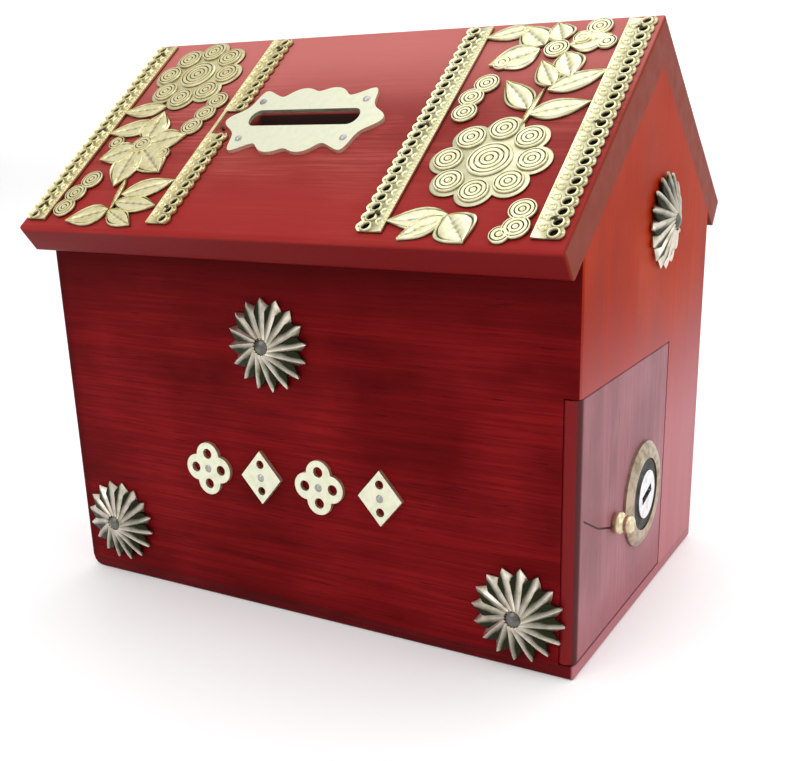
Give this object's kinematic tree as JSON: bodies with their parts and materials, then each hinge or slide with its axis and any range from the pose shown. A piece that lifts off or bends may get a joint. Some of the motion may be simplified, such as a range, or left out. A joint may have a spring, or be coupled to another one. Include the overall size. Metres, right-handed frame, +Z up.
{
  "type": "wooden money box",
  "caption": "House-shaped wooden money box with a brass-plated coin slot in its pitched roof and a small locking door in one side.",
  "frame": {"origin": "centre of the underside of the base board", "axes": "+Z up, -Y out of the front wall, +X out of the side with the door and lock"},
  "size_m": [0.1403, 0.105, 0.127],
  "materials": {
    "red_wood": "red-stained and lacquered, horizontal grain",
    "roof_wood": "red-stained and lacquered, satin",
    "orange_wood": "orange-red stain, glossy lacquer",
    "door_wood": "thin rose stain, upright grain, satin",
    "dark_wood": "dark stain, matte",
    "sheet_brass": "pale polished sheet",
    "pierced_brass": "stamped and pierced, polished relief",
    "rosette_brass": "silvery stamped sheet",
    "turned_brass": "turned, slightly tarnished",
    "steel": "bright wire and pressed steel",
    "chrome": "plated"
  },
  "bodies": {
    "carcass": {"base_board": "dark_wood", "front_wall": "red_wood", "back_wall": "red_wood", "left_gable_wall": "orange_wood", "right_gable_wall": "orange_wood", "front_roof_board": "roof_wood", "back_roof_board": "roof_wood", "door_stop_cleat": "dark_wood", "door_pivot_nail": "steel", "door_pivot_pin": "steel", "base_nails": "steel", "roof_brads": "steel", "coin_slot_plate": "sheet_brass", "slot_plate_nails": "steel", "left_roof_strip": "pierced_brass", "right_roof_strip": "pierced_brass", "roof_strip_nails": "sheet_brass", "front_rosette_top": "rosette_brass", "front_rosette_left": "rosette_brass", "front_rosette_right": "rosette_brass", "right_gable_rosette": "rosette_brass", "left_gable_rosette": "rosette_brass", "rosette_nails": "steel", "front_ornament_1": "sheet_brass", "front_ornament_2": "sheet_brass", "front_ornament_3": "sheet_brass", "front_ornament_4": "sheet_brass", "ornament_nails": "steel"},
    "door": {"door_panel": "door_wood", "door_knob": "turned_brass", "lock_escutcheon": "turned_brass", "lock_barrel": "steel", "lock_nut": "steel"},
    "lock_core": {"lock_plug": "chrome", "lock_wafers": "turned_brass", "lock_cam": "steel", "cam_screw": "steel"}
  },
  "joints": [
    {"name": "door_hinge", "type": "hinge", "parent": "carcass", "child": "door", "pos_m": [0.0638, -0.0408, 0], "axis": [0, 0, -1], "range_deg": [0, 100]},
    {"name": "lock_turn", "type": "hinge", "parent": "door", "child": "lock_core", "pos_m": [0.066, -0.0033, 0.0272], "axis": [1, 0, 0], "range_deg": [0, 90]}
  ]
}
